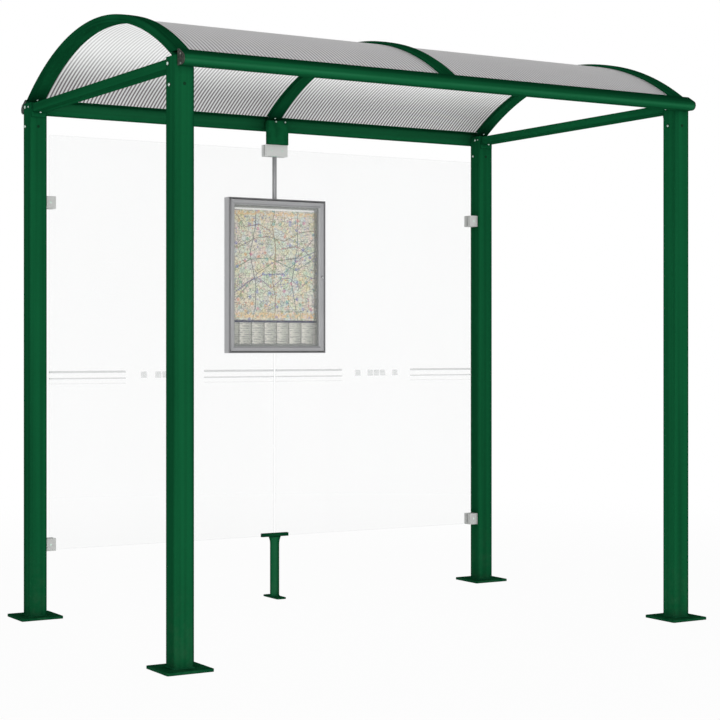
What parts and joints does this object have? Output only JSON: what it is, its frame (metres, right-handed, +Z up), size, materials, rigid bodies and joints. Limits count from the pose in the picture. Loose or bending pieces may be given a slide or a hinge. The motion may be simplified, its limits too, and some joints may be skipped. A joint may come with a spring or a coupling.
{
  "type": "bus shelter",
  "caption": "Open green steel bus shelter with a curved translucent roof, a clamped glass back wall and a small lockable display case that hangs in front of the glass.",
  "frame": {"origin": "on the floor, under the middle of the shelter's bounding box", "axes": "+X along the length to the right seen from the open front, +Y from the open front to the glass back, +Z up"},
  "size_m": [2.72, 1.764, 2.651],
  "materials": {
    "frame_paint": "satin dark green powder coat",
    "beam_cap_plastic": "matte dark grey",
    "roof_sheet": "translucent ribbed plastic sheet",
    "safety_glass": "clear, polished",
    "clamp_metal": "satin cast",
    "case_metal": "satin",
    "board_face": "matte dark grey",
    "poster_paper": "printed",
    "clear_acrylic": "clear",
    "lock_chrome": "polished"
  },
  "bodies": {
    "shelter": {"post_front_left": "frame_paint", "post_front_right": "frame_paint", "post_back_left": "frame_paint", "post_back_right": "frame_paint", "base_plate_front_left": "frame_paint", "base_plate_front_right": "frame_paint", "base_plate_back_left": "frame_paint", "base_plate_back_right": "frame_paint", "front_beam": "frame_paint", "back_beam": "frame_paint", "side_tie_left": "frame_paint", "side_tie_right": "frame_paint", "middle_hanger": "frame_paint", "front_beam_cap_left": "beam_cap_plastic", "front_beam_cap_right": "beam_cap_plastic", "back_beam_cap_left": "beam_cap_plastic", "back_beam_cap_right": "beam_cap_plastic", "roof_arch_left": "frame_paint", "roof_arch_middle": "frame_paint", "roof_arch_right": "frame_paint", "arch_cover_left": "frame_paint", "arch_cover_middle": "frame_paint", "arch_cover_right": "frame_paint", "roof_sheet_left": "roof_sheet", "roof_sheet_right": "roof_sheet", "glass_pane_left": "safety_glass", "glass_pane_right": "safety_glass", "glass_clamp_upper_left": "clamp_metal", "glass_clamp_upper_right": "clamp_metal", "glass_clamp_lower_left": "clamp_metal", "glass_clamp_lower_right": "clamp_metal", "glass_clamp_middle_left": "clamp_metal", "glass_clamp_middle_right": "clamp_metal", "foot_channel": "frame_paint", "foot_stem": "frame_paint", "foot_base_plate": "frame_paint", "case_hanger_rod": "case_metal", "case_tray": "case_metal", "case_board": "board_face", "route_poster": "poster_paper"},
    "display_door": {"door_frame": "case_metal", "door_window": "clear_acrylic", "door_lock": "lock_chrome"}
  },
  "joints": [
    {"name": "display_door_hinge", "type": "hinge", "parent": "shelter", "child": "display_door", "pos_m": [-0.263, 0.738, 1.606], "axis": [0, 0, -1], "range_deg": [0, 90]}
  ]
}
